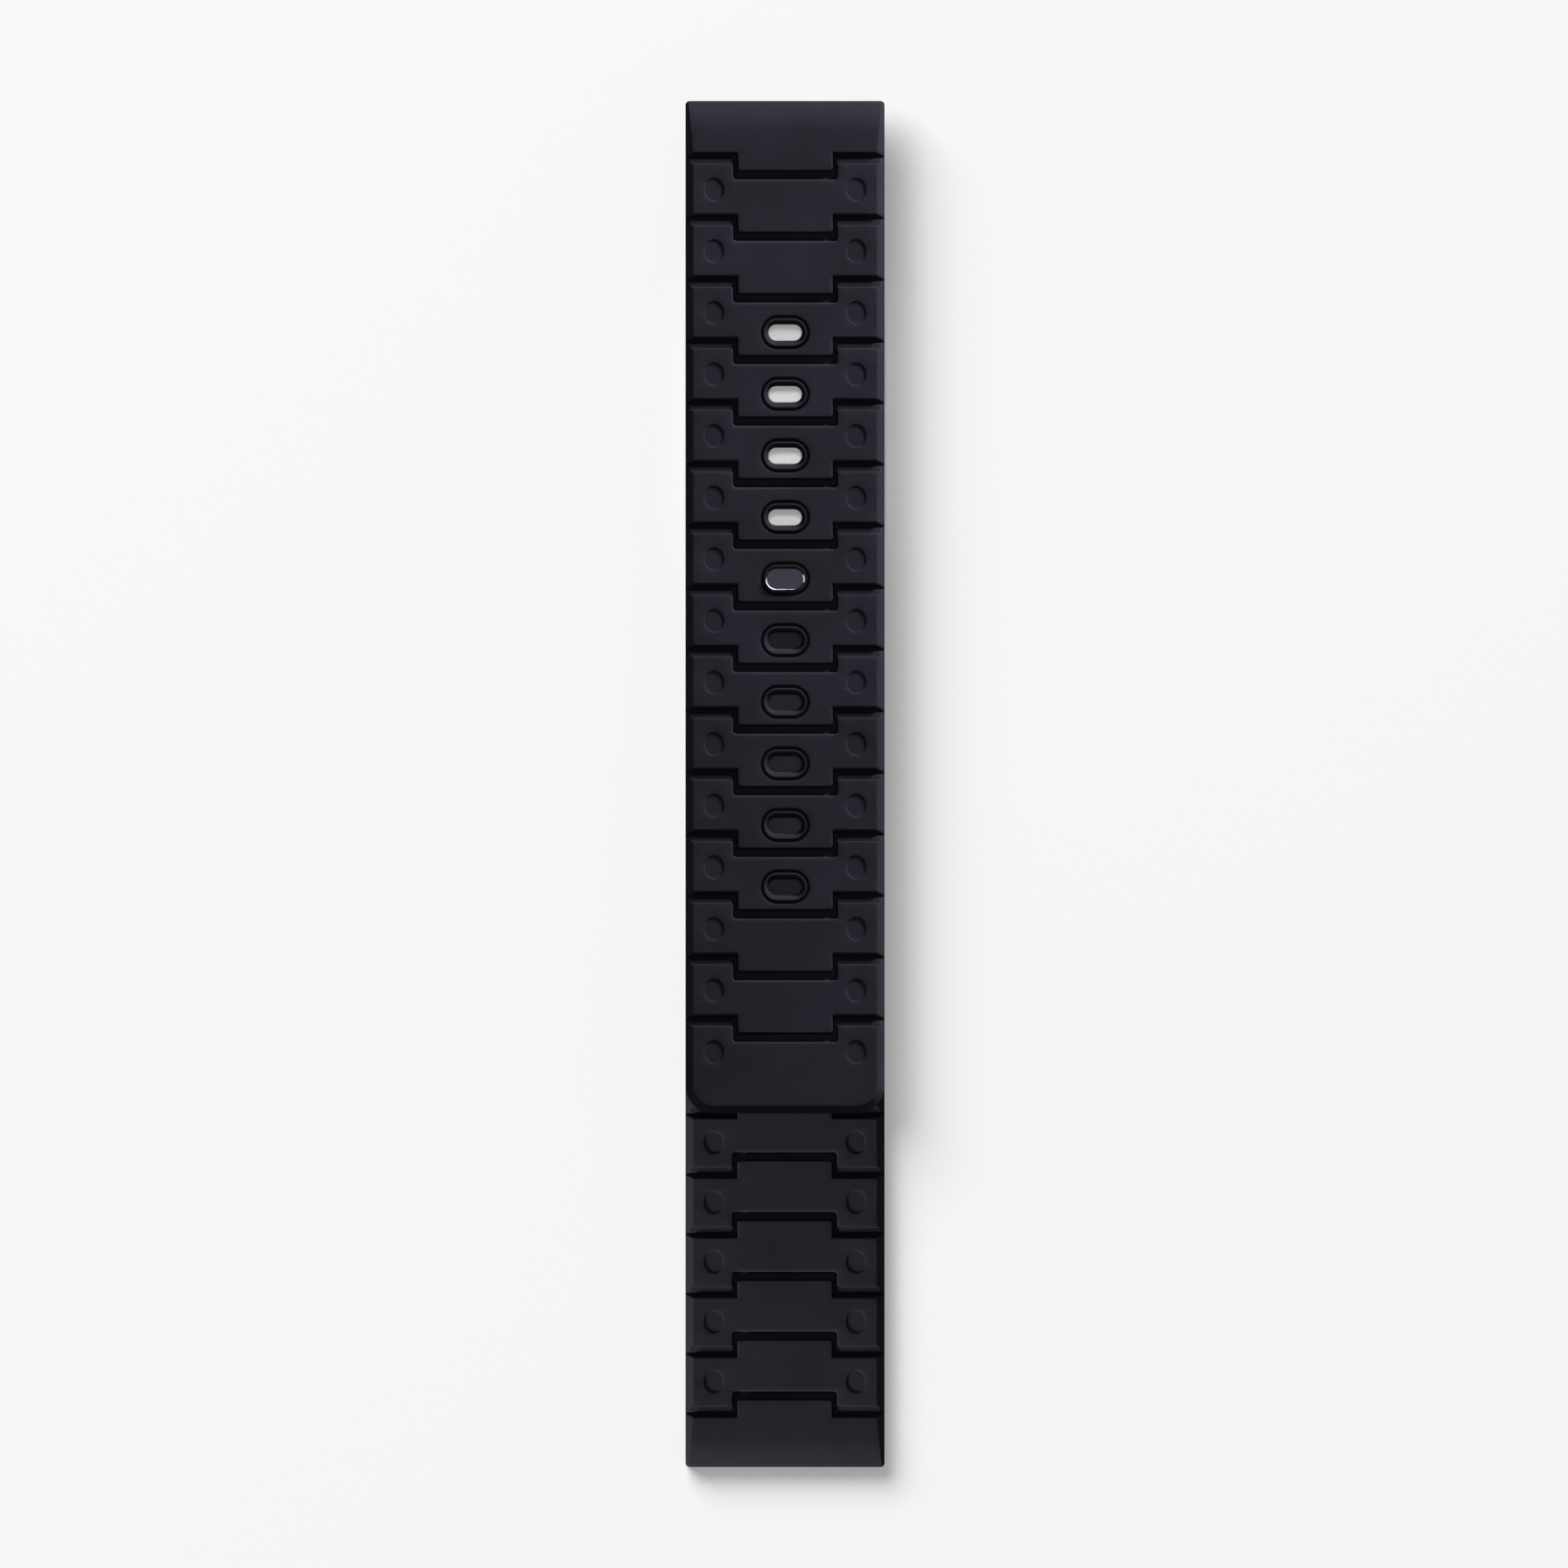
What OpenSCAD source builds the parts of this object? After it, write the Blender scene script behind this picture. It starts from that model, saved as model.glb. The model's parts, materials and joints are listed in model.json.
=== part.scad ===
// Rubber watch strap with a tank-track tread, shown flat with its two halves buttoned together.
// The long half lies on the short half. Its lug end is at +Y, the short half's lug end is at -Y.
// Each half is drawn in its own frame: lug face at y = 0, free end towards +Y, underside at z = 0.
// The links of a half are one moulding, and each groove is where it flexes about a cross axis.

/* [Strap] */
// Width of the strap
strap_w = 22; // [21:0.5:23]
// Thickness over the tread
strap_t = 3.8; // [3.7:0.1:4]
// Length between the two lug faces when buttoned and flat
closed_len = 150.93; // [150.6:0.01:151.2]
// Gap between the two halves where they overlap
layer_gap = 0.3; // [0.25:0.05:0.4]
// Width of the bevel along the top edges
bevel_w = 0.83; // [0.6:0.01:0.9]
// Depth of the bevel along the top edges
bevel_d = 1.05; // [0.8:0.05:1.05]
// Bevel along the bottom edges
under_bevel = 0.3; // [0.2:0.1:0.4]
// Plan radius of the two corners at each free end
tip_r = 3.05; // [2.5:0.05:3.5]

/* [Long half] */
// Distance from one groove to the next
long_pitch = 6.806; // [6.78:0.002:6.83]
// Lug face to the first groove
long_first = 5.68; // [5.6:0.01:5.75]
// Lug face to the free end
long_len = 111.85; // [111.4:0.05:112.2]

/* [Short half] */
// Distance from one groove to the next
short_pitch = 6.604; // [6.59:0.002:6.62]
// Lug face to the first groove
short_first = 5.47; // [5.45:0.01:5.6]
// Lug face to the free end
short_len = 103.1; // [102.8:0.05:103.3]

/* [Tread] */
// Depth of the grooves between the links
groove_d = 1.1; // [1.05:0.01:1.15]
// Half width of the tongue that each link carries
tongue_half = 5.22; // [5:0.01:5.3]
// Half width of the recess that the tongue lies in
recess_half = 5.79; // [5.6:0.01:6]
// Distance of the round dimples from the strap's middle
dimple_x = 7.85; // [7.6:0.05:8]
// Radius of the round dimples
dimple_r = 1.2; // [1:0.05:1.3]
// Depth of the round dimples
dimple_d = 0.2; // [0.1:0.05:0.3]

/* [Adjustment slots] */
// Link that carries the first slot
first_slot_link = 3; // [2:1:4]
// Link that carries the last slot
last_slot_link = 12; // [10:1:13]
// Length of the slot across the strap
slot_l = 3.7; // [3.6:0.01:3.8]
// Width of the slot along the strap
slot_w = 1.76; // [1.7:0.01:1.8]
// Length of the moat round the slot's lip, outside
moat_l = 5.41; // [5.35:0.01:5.5]
// Width of the moat round the slot's lip, outside
moat_w = 3.76; // [3.7:0.01:3.8]
// Width of the moat's channel
moat_gap = 0.27; // [0.2:0.01:0.3]
// Depth of the moat below the tread
moat_d = 0.9; // [0.6:0.1:1]
// Depth of the lip's top below the tread
lip_drop = 0.25; // [0.2:0.05:0.3]

/* [Stud] */
// Length of the stud's head across the strap
head_l = 4.37; // [4.2:0.01:4.5]
// Width of the stud's head along the strap
head_w = 2.51; // [2.4:0.01:2.6]
// Thickness of the stud's head
head_t = 0.6; // [0.5:0.05:0.65]
// Length of the stud's neck across the strap
neck_l = 3.4; // [3.2:0.01:3.42]
// Width of the stud's neck along the strap
neck_w = 1.5; // [1.4:0.01:1.52]
// Radius of the two rivet tails
tail_r = 0.6; // [0.5:0.01:0.65]
// Distance of each rivet tail from the middle
tail_x = 1.05; // [1:0.05:1.1]

/* [Bar clip] */
// Radius of the seat for the watch's bar
seat_r = 0.8; // [0.77:0.01:0.82]
// Lug face to the bar's centre
bar_v = 1.9; // [1.88:0.01:1.92]
// Height of the bar's centre over the strap's underside
bar_z = 1.25; // [1.23:0.01:1.27]
// Half width of the clip's frame
clip_half = 7.6; // [7.5:0.1:7.8]
// Half width of the latch's plate
latch_half = 4.5; // [4.3:0.1:4.6]
// Travel of the latch
latch_travel = 1; // [0.9:0.05:1]
// Wire diameter of the latch springs
spring_wire = 0.12; // [0.1:0.01:0.14]

/* [Hidden] */
LONG_LINKS = 15;
SHORT_LINKS = 14;
BUTTON_LINK = 7;                            // its slot holds the stud

RUBBER_LONG = [0.15, 0.15, 0.17];
RUBBER_SHORT = [0.12, 0.12, 0.14];
DARK_STEEL = [0.23, 0.23, 0.27];
STEEL = [0.62, 0.62, 0.64];
SPRING_STEEL = [0.75, 0.75, 0.77];

BIG = 20;                                   // longer than any cut
EPS = 0.02;                                 // how far joined shapes run into each other
FN = 48;

half_w = strap_w / 2;
web_t = strap_t - groove_d;                 // rubber left under a groove
pivot_z = web_t / 2;                        // flexing axis, at the middle of that web
pivot_v = 1.35;                             // groove's near edge to the flexing axis
knuckle_r = pivot_z - 0.01;                 // round end of a link's web
socket_r = knuckle_r + 0.06;                // hollow that it turns in
lip_reach = 0.7;                            // how far the hollow's lips reach round it
arm_start = 1.3;                            // groove's near edge to the next link's arms
barrel_half = 3.3;                          // half width of the middle knuckle, wider than a slot
barrel_gap = 0.05;                          // at each end of that knuckle
tongue_gap = 0.08;                          // between a tongue and the web under it

tongue_share = 0.29;                        // tongue's reach past the groove edge, in pitches
recess_share = 0.451;                       // groove edge to the recess's far wall, in pitches
dimple_share = 0.603;                       // groove edge to the dimples, in pitches
slot_share = 0.926;                         // groove edge to the slot, in pitches

long_z = strap_t + layer_gap;               // underside of the long half
button_v = long_first + (BUTTON_LINK - 1 + slot_share) * long_pitch;
stud_v = closed_len - button_v;             // the stud, in the short half's frame

lug_drop = 1;                               // fall of the lug's top at its face
lug_run = 3.2;                              // length of that fall

// ---- shapes shared by both halves ----

// Draws a profile of (y, z) points across the strap, over a width w
module across(w) {
    translate([-w / 2, 0, 0]) rotate([90, 0, 90]) linear_extrude(w) children();
}

// Draws a section of (x, z) points along the strap
module along(from, to) {
    translate([0, to, 0]) rotate([90, 0, 0]) linear_extrude(to - from) children();
}

module full_section() {
    polygon([[-half_w + under_bevel, 0], [half_w - under_bevel, 0], [half_w, under_bevel],
        [half_w, strap_t - bevel_d], [half_w - bevel_w, strap_t], [-half_w + bevel_w, strap_t],
        [-half_w, strap_t - bevel_d], [-half_w, under_bevel]]);
}

module web_section() {
    polygon([[-half_w + under_bevel, 0], [half_w - under_bevel, 0], [half_w, under_bevel],
        [half_w, web_t], [-half_w, web_t], [-half_w, under_bevel]]);
}

// Cylinder across the strap about a flexing axis
module pivot_round(v, r, w) {
    translate([-w / 2, v, pivot_z]) rotate([0, 90, 0]) cylinder(h = w, r = r, $fn = FN);
}

// Oblong of length l across the strap and width w along it, h high
module oblong(l, w, h) {
    middle = l - w;
    translate([-middle / 2, -w / 2, 0]) cube([middle, w, h]);
    for (side = [-1, 1]) translate([side * middle / 2, 0, 0]) cylinder(h = h, d = w, $fn = FN);
}

// Gives a link its far end past the groove edge: web lips, tongue and middle knuckle. The next
// link's knuckles turn in the hollow on both sides of the middle one.
module with_far_end(edge, pitch) {
    difference() {
        union() {
            children();
            along(edge - EPS, edge + lip_reach) web_section();
            translate([-tongue_half, edge - EPS, web_t + tongue_gap])
                cube([2 * tongue_half, tongue_share * pitch + EPS, groove_d - tongue_gap]);
        }
        pivot_round(edge + pivot_v, socket_r, strap_w + 2);
    }
    pivot_round(edge + pivot_v, knuckle_r, 2 * barrel_half);
    translate([-barrel_half, edge - 1, 0])
        cube([2 * barrel_half, 1 + pivot_v, web_t + tongue_gap + EPS]);
}

// Room in a link's near end for the middle knuckle of the link before it
module barrel_room(edge) {
    half = barrel_half + barrel_gap;
    pivot_round(edge + pivot_v, socket_r, 2 * half);
    translate([-half, edge - 1, -1]) cube([2 * half, 1 + pivot_v, BIG]);
}

module recess(edge, pitch) {
    translate([-recess_half, edge, web_t])
        cube([2 * recess_half, recess_share * pitch, BIG]);
}

module dimples(v) {
    for (side = [-1, 1]) translate([side * dimple_x, v, strap_t - dimple_d])
        cylinder(h = BIG, r = dimple_r, $fn = FN);
}

// One tread link whose near groove starts at edge
module link(edge, pitch) {
    difference() {
        with_far_end(edge + pitch, pitch) {
            pivot_round(edge + pivot_v, knuckle_r, strap_w);
            along(edge + arm_start, edge + pitch) full_section();
        }
        barrel_room(edge);
        recess(edge, pitch);
        dimples(edge + dimple_share * pitch);
    }
}

// One corner of the free end: a round post with its top and bottom bevelled
module tip_corner() {
    cylinder(h = under_bevel, r1 = tip_r - under_bevel, r2 = tip_r, $fn = FN);
    translate([0, 0, under_bevel])
        cylinder(h = strap_t - bevel_d - under_bevel, r = tip_r, $fn = FN);
    translate([0, 0, strap_t - bevel_d])
        cylinder(h = bevel_d, r1 = tip_r, r2 = tip_r - bevel_w, $fn = FN);
}

// Last link of a half, from its groove edge to the free end
module tip_link(edge, pitch, end) {
    difference() {
        union() {
            pivot_round(edge + pivot_v, knuckle_r, strap_w);
            along(edge + arm_start, end - tip_r) full_section();
            across(strap_w - 2 * tip_r) polygon([[end - tip_r - EPS, 0], [end - under_bevel, 0],
                [end, under_bevel], [end, strap_t - bevel_d], [end - bevel_w, strap_t],
                [end - tip_r - EPS, strap_t]]);
            for (side = [-1, 1]) translate([side * (half_w - tip_r), end - tip_r, 0]) tip_corner();
        }
        barrel_room(edge);
        recess(edge, pitch);
        dimples(edge + dimple_share * pitch);
    }
}

// ---- adjustment slots ----

module slot_cut(v) {
    translate([0, v, -1]) oblong(slot_l, slot_w, BIG);
    translate([0, v, strap_t - lip_drop]) oblong(moat_l, moat_w, BIG);
    translate([0, v, strap_t - moat_d]) difference() {
        oblong(moat_l, moat_w, BIG);
        translate([0, 0, -1]) oblong(moat_l - 2 * moat_gap, moat_w - 2 * moat_gap, BIG + 2);
    }
}

function long_edge(k) = long_first + (k - 1) * long_pitch;
function short_edge(k) = short_first + (k - 1) * short_pitch;

module long_tread(k) {
    slot_v = long_edge(k) + slot_share * long_pitch;
    slotted = k >= first_slot_link && k <= last_slot_link;
    color(RUBBER_LONG) long_frame() difference() {
        if (k == LONG_LINKS) tip_link(long_edge(k), long_pitch, long_len);
        else link(long_edge(k), long_pitch);
        if (k == BUTTON_LINK) translate([0, slot_v, -1]) oblong(moat_l, moat_w, BIG);
        else if (slotted) slot_cut(slot_v);
    }
}

module short_tread(k) {
    color(RUBBER_SHORT) short_frame() link(short_edge(k), short_pitch);
}

// ---- lug ends ----

// Height of the lug's top at a distance v from its face
function lug_top(v) = strap_t - lug_drop * pow((lug_run - v) / lug_run, 2);

clip_from = 0.5;                            // lug face to the clip's frame
clip_to = 5.3;                              // lug face to the frame's far end
clip_h = 2.35;                              // height of the frame
cover_t = 0.3;                              // thickness of the cover plate
seat_wall = 0.3;                            // wall behind the bar's seat
bay_from = bar_v + seat_r + seat_wall;      // bay that the latch slides in
bay_to = clip_to - 0.25;
bay_half = 7.1;
bay_top = 1.5;

// Seat for the watch's bar, open downwards, over a width w
module bar_channel(w) {
    translate([-w / 2, bar_v, bar_z]) rotate([0, 90, 0]) cylinder(h = w, r = seat_r, $fn = FN);
    translate([-w / 2, bar_v - seat_r, -1]) cube([w, 2 * seat_r, bar_z + 1]);
}

module lug(edge, pitch) {
    steps = 12;
    difference() {
        with_far_end(edge, pitch) intersection() {
            along(0, edge) full_section();
            across(strap_w + 2) polygon(concat([[-1, -1], [edge + 1, -1], [edge + 1, strap_t + 1],
                [lug_run, strap_t + 1]],
                [for (i = [steps:-1:0]) [lug_run * i / steps, lug_top(lug_run * i / steps)]],
                [[-1, lug_top(0)]]));
        }
        translate([-clip_half, clip_from, -1]) cube([2 * clip_half, clip_to - clip_from, clip_h + 1]);
        bar_channel(strap_w + 2);
    }
}

// ---- bar clip in each lug end ----

module clip_frame() {
    difference() {
        translate([-clip_half, clip_from, 0]) cube([2 * clip_half, clip_to - clip_from, clip_h]);
        bar_channel(2 * clip_half + 2);
        // step for the cover plate
        translate([-clip_half - 1, bar_v + seat_r - 0.1, -1])
            cube([2 * clip_half + 2, BIG, cover_t + 1]);
        // bay for the latch's body, ears and springs
        translate([-bay_half, bay_from, -1]) cube([2 * bay_half, bay_to - bay_from, bay_top + 1]);
        // passage for the latch's nose under the seat's wall
        translate([-latch_half - 0.1, bar_v, -1])
            cube([2 * latch_half + 0.2, bay_from - bar_v + 1, 0.5 + 1]);
    }
}

module clip_cover() {
    rear_bar = 0.25;
    difference() {
        translate([-clip_half, bar_v + seat_r, 0])
            cube([2 * clip_half, clip_to - bar_v - seat_r, cover_t]);
        translate([-latch_half - 0.1, 0, -1])
            cube([2 * latch_half + 0.2, clip_to - rear_bar, BIG]);
    }
}

latch_nose = bar_v - 0.2;                   // lug face to the nose's edge
latch_from = bay_from + 0.05;
ear_t = 0.3;
latch_to = bay_to - latch_travel - 0.05;
nose_top = 0.42;
latch_low = 0.05;
latch_high = 1.4;
spring_r = 0.42;                            // mean radius of a coil
spring_x = 5.9;
spring_z = 0.92;
spring_turns = 5;

module latch() {
    ridge = 0.12;
    difference() {
        union() {
            translate([-latch_half, latch_nose, latch_low])
                cube([2 * latch_half, latch_to - latch_nose, nose_top - latch_low]);
            translate([-latch_half, latch_from, latch_low])
                cube([2 * latch_half, latch_to - latch_from, latch_high - latch_low]);
            translate([-bay_half + 0.1, latch_from, cover_t + 0.05])
                cube([2 * (bay_half - 0.1), ear_t, latch_high - cover_t - 0.05]);
        }
        // grip grooves for a fingernail
        for (i = [0:1]) translate([-latch_half + 0.6, latch_to - 0.3 - 0.3 * i, latch_low - 1])
            cube([2 * latch_half - 1.2, 0.15, 1 + ridge]);
    }
}

// A coil along +Y from y = 0, with flat turns at its two ends
module coil(len, r, wire) {
    sides = 8;
    per_turn = 12;
    rings = spring_turns * per_turn;
    rise = len - wire;
    function centre(i) = [r * cos(360 * i / per_turn), wire / 2 + rise * i / rings,
        r * sin(360 * i / per_turn)];
    function out(i) = [cos(360 * i / per_turn), 0, sin(360 * i / per_turn)];
    points = [for (i = [0:rings]) for (s = [0:sides - 1])
        centre(i) + wire / 2 * (cos(360 * s / sides) * out(i) + sin(360 * s / sides) * [0, 1, 0])];
    walls = [for (i = [0:rings - 1]) for (s = [0:sides - 1])
        [i * sides + s, i * sides + (s + 1) % sides,
            (i + 1) * sides + (s + 1) % sides, (i + 1) * sides + s]];
    caps = [[for (s = [sides - 1:-1:0]) s], [for (s = [0:sides - 1]) rings * sides + s]];
    polyhedron(points, concat(walls, caps));
}

module latch_springs() {
    from = latch_from + ear_t + 0.01;
    for (side = [-1, 1]) translate([side * spring_x, from, spring_z])
        coil(bay_to - from - 0.01, spring_r, spring_wire);
}

// ---- closure stud ----

flange_l = 6;
flange_w = 4;
flange_t = 0.6;
plate_l = 8;
plate_w = 6;
plate_t = 0.5;
plate_z = 0.25;                             // plate's underside over the strap's underside
head_top = long_z + strap_t + 0.35;         // the head stands a little proud of the tread
head_bevel = 0.15;

module stud_tails(r, from, to) {
    for (side = [-1, 1]) translate([side * tail_x, stud_v, from])
        cylinder(h = to - from, r = r, $fn = FN);
}

module short_tip() {
    color(RUBBER_SHORT) short_frame() difference() {
        tip_link(short_edge(SHORT_LINKS), short_pitch, short_len);
        translate([0, stud_v, strap_t - flange_t]) oblong(flange_l, flange_w, BIG);
        translate([0, stud_v, -1]) oblong(plate_l, plate_w, plate_z + plate_t + 1);
        stud_tails(tail_r + 0.02, 0, strap_t);
    }
}

module closure_stud() {
    color(DARK_STEEL) short_frame() {
        translate([0, stud_v, strap_t - flange_t]) oblong(flange_l, flange_w, flange_t);
        translate([0, stud_v, strap_t - EPS])
            oblong(neck_l, neck_w, head_top - head_t - strap_t + 2 * EPS);
        translate([0, stud_v, head_top - head_t]) oblong(head_l, head_w, head_t - head_bevel);
        translate([0, stud_v, head_top - head_bevel - EPS])
            oblong(head_l - 2 * head_bevel, head_w - 2 * head_bevel, head_bevel + EPS);
        stud_tails(tail_r, plate_z, strap_t - flange_t + EPS);
    }
}

module stud_backing_plate() {
    color(STEEL) short_frame() difference() {
        translate([0, stud_v, plate_z]) oblong(plate_l, plate_w, plate_t);
        stud_tails(tail_r + 0.02, plate_z - 1, plate_z + plate_t + 1);
    }
}

module buttonhole_lip() {
    fit = 0.02;
    color(RUBBER_LONG) long_frame() difference() {
        translate([0, button_v, 0]) oblong(moat_l - fit, moat_w - fit, strap_t - lip_drop);
        translate([0, button_v, -1]) oblong(slot_l, slot_w, BIG);
        translate([0, button_v, strap_t - moat_d]) difference() {
            oblong(moat_l + 1, moat_w + 1, BIG);
            translate([0, 0, -1]) oblong(moat_l - 2 * moat_gap, moat_w - 2 * moat_gap, BIG + 2);
        }
    }
}

// ---- where each half lies ----

module long_frame() {
    translate([0, closed_len / 2, long_z]) rotate([0, 0, 180]) children();
}

module short_frame() {
    translate([0, -closed_len / 2, 0]) children();
}

module long_lug() { color(RUBBER_LONG) long_frame() lug(long_first, long_pitch); }
module short_lug() { color(RUBBER_SHORT) short_frame() lug(short_first, short_pitch); }
module long_clip_frame() { color(STEEL) long_frame() clip_frame(); }
module short_clip_frame() { color(STEEL) short_frame() clip_frame(); }
module long_clip_cover() { color(STEEL) long_frame() clip_cover(); }
module short_clip_cover() { color(STEEL) short_frame() clip_cover(); }
module long_latch() { color(DARK_STEEL) long_frame() latch(); }
module short_latch() { color(DARK_STEEL) short_frame() latch(); }
module long_latch_springs() { color(SPRING_STEEL) long_frame() latch_springs(); }
module short_latch_springs() { color(SPRING_STEEL) short_frame() latch_springs(); }

short_tip();  // short_link_14
closure_stud();
stud_backing_plate();
short_tread(13);  // short_link_13
short_tread(12);  // short_link_12
short_tread(11);  // short_link_11
short_tread(10);  // short_link_10
short_tread(9);  // short_link_09
short_tread(8);  // short_link_08
short_tread(7);  // short_link_07
short_tread(6);  // short_link_06
short_tread(5);  // short_link_05
short_tread(4);  // short_link_04
short_tread(3);  // short_link_03
short_tread(2);  // short_link_02
short_tread(1);  // short_link_01
short_lug();
short_clip_frame();
short_clip_cover();
short_latch();
short_latch_springs();
long_tread(7);  // long_link_07
buttonhole_lip();
long_tread(6);  // long_link_06
long_tread(5);  // long_link_05
long_tread(4);  // long_link_04
long_tread(3);  // long_link_03
long_tread(2);  // long_link_02
long_tread(1);  // long_link_01
long_lug();
long_clip_frame();
long_clip_cover();
long_latch();
long_latch_springs();
long_tread(8);  // long_link_08
long_tread(9);  // long_link_09
long_tread(10);  // long_link_10
long_tread(11);  // long_link_11
long_tread(12);  // long_link_12
long_tread(13);  // long_link_13
long_tread(14);  // long_link_14
long_tread(15);  // long_link_15
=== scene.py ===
"""A rubber watch strap with a tank-track tread, lying flat with its two halves buttoned together.

Lengths are in millimetres until a mesh is made. A half is drawn in its own frame: x across the strap,
v along it from the lug face to the free end, z up from its underside.
"""

import json
import math

import bmesh
import bpy
from mathutils import Matrix, Vector
from mathutils.geometry import delaunay_2d_cdt


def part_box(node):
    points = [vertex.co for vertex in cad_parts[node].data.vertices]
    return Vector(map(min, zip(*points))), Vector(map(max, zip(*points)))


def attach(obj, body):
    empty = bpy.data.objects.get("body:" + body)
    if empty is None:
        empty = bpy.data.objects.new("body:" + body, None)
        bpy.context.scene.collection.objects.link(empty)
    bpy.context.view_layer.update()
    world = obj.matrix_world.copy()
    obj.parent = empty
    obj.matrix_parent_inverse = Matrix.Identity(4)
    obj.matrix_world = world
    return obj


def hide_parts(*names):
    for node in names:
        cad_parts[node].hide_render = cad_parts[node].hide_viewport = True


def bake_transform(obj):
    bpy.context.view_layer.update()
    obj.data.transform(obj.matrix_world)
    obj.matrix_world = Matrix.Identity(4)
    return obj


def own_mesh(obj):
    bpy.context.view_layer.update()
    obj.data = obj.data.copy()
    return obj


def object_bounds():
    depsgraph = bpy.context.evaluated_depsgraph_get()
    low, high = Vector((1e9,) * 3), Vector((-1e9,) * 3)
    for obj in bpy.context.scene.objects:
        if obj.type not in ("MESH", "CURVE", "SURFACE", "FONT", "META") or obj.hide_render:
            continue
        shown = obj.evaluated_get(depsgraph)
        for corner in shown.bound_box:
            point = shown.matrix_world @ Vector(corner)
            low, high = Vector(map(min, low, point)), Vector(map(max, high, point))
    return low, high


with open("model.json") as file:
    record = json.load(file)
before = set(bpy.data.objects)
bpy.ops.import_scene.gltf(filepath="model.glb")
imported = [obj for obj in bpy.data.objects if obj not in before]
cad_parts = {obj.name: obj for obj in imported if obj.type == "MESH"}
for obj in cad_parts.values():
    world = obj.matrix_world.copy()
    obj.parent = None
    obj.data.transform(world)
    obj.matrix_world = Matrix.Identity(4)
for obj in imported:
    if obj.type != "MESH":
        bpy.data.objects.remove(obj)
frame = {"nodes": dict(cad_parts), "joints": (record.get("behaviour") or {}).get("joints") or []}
cad_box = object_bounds()
scene = bpy.context.scene
scene.view_settings.view_transform = "Standard"

# ---------------------------------------------------------------------------------------------------
# Camera: square on to the tread from straight above, as a catalogue shows a strap, with the strap's
# length filling most of the frame. A parallel view, so both ends are seen at the same scale.
MM = 0.001
VIEW_SIDE, VIEW_HEIGHT = 173.23, 500
OFF_MIDDLE = 0.114                            # the strap lies a hair to the right of the frame's middle
camera_data = bpy.data.cameras.new("camera")
camera_data.type = "ORTHO"
camera_data.ortho_scale = VIEW_SIDE * MM
camera = bpy.data.objects.new("camera", camera_data)
camera.location = (-OFF_MIDDLE * MM, 0, VIEW_HEIGHT * MM)
scene.collection.objects.link(camera)
scene.camera = camera

# ---------------------------------------------------------------------------------------------------
# Rubber: fluoroelastomer, moulded in one piece for each half and tumbled to a dull satin. It is close
# to black with a faint cool cast, and its skin has the fine even grain of a blasted mould.


def linear(colour):
    """An sRGB hex colour as linear red, green, blue and alpha."""
    parts = [int(colour[i:i + 2], 16) / 255 for i in (1, 3, 5)]
    return [c / 12.92 if c <= 0.04045 else ((c + 0.055) / 1.055) ** 2.4 for c in parts] + [1.0]


def add(tree, kind, links=(), **settings):
    """Adds a node with its settings and input values, and links as (input, other node, its output)."""
    node = tree.nodes.new(kind)
    for name, value in settings.items():
        if hasattr(node, name):
            setattr(node, name, value)
        else:
            node.inputs[name.replace("_", " ")].default_value = value
    for socket, other, output in links:
        tree.links.new(other.outputs[output], node.inputs[socket])
    return node


def new_material(name):
    """A material with an empty node tree, and that tree."""
    material = bpy.data.materials.new(name)
    material.use_nodes = True
    material.node_tree.nodes.clear()
    return material, material.node_tree


GRAIN_MM, GRAIN_DEPTH = 0.16, 0.012           # grain of the blasted mould
CLOUD_MM = 9.0                                # slow change in tone from handling and release agent
RUBBER_ROUGHNESS = 0.86


def moulded_rubber(name, dark, light):
    """Matte black fluoroelastomer: a dull skin with a fine grain, which hardly mirrors a lamp."""
    material, tree = new_material(name)
    place = add(tree, "ShaderNodeTexCoord")
    grain = add(tree, "ShaderNodeTexNoise", [("Vector", place, "Object")],
                Scale=1 / (GRAIN_MM * MM), Detail=2.0, Roughness=0.6)
    clouds = add(tree, "ShaderNodeTexNoise", [("Vector", place, "Object")],
                 Scale=1 / (CLOUD_MM * MM), Detail=3.0)
    tone = add(tree, "ShaderNodeValToRGB", [("Fac", clouds, "Fac")])
    for stop, position, colour in zip(tone.color_ramp.elements, (0.35, 0.70), (dark, light)):
        stop.position, stop.color = position, linear(colour)
    dull = add(tree, "ShaderNodeMapRange", [("Value", grain, "Fac")],
               To_Min=RUBBER_ROUGHNESS - 0.04, To_Max=RUBBER_ROUGHNESS + 0.06)
    bump = add(tree, "ShaderNodeBump", [("Height", grain, "Fac")], Strength=0.22, Distance=GRAIN_DEPTH * MM)
    skin = add(tree, "ShaderNodeBsdfPrincipled",
               [("Base Color", tone, "Color"), ("Roughness", dull, "Result"), ("Normal", bump, "Normal")],
               Specular_IOR_Level=0.03)
    add(tree, "ShaderNodeOutputMaterial", [("Surface", skin, 0)])
    return material


# Both halves are one rubber. Their two copies differ only by painted light: the long half's copy is painted a
# touch lighter and cooler and the short half's a touch darker, for how each half is lit.
rubber_long_painted_lighter = moulded_rubber("moulded_black_fluoroelastomer_long", "#1a191f", "#1e1d24")
rubber_short_painted_darker = moulded_rubber("moulded_black_fluoroelastomer_short", "#18181c", "#1b1b20")
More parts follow.
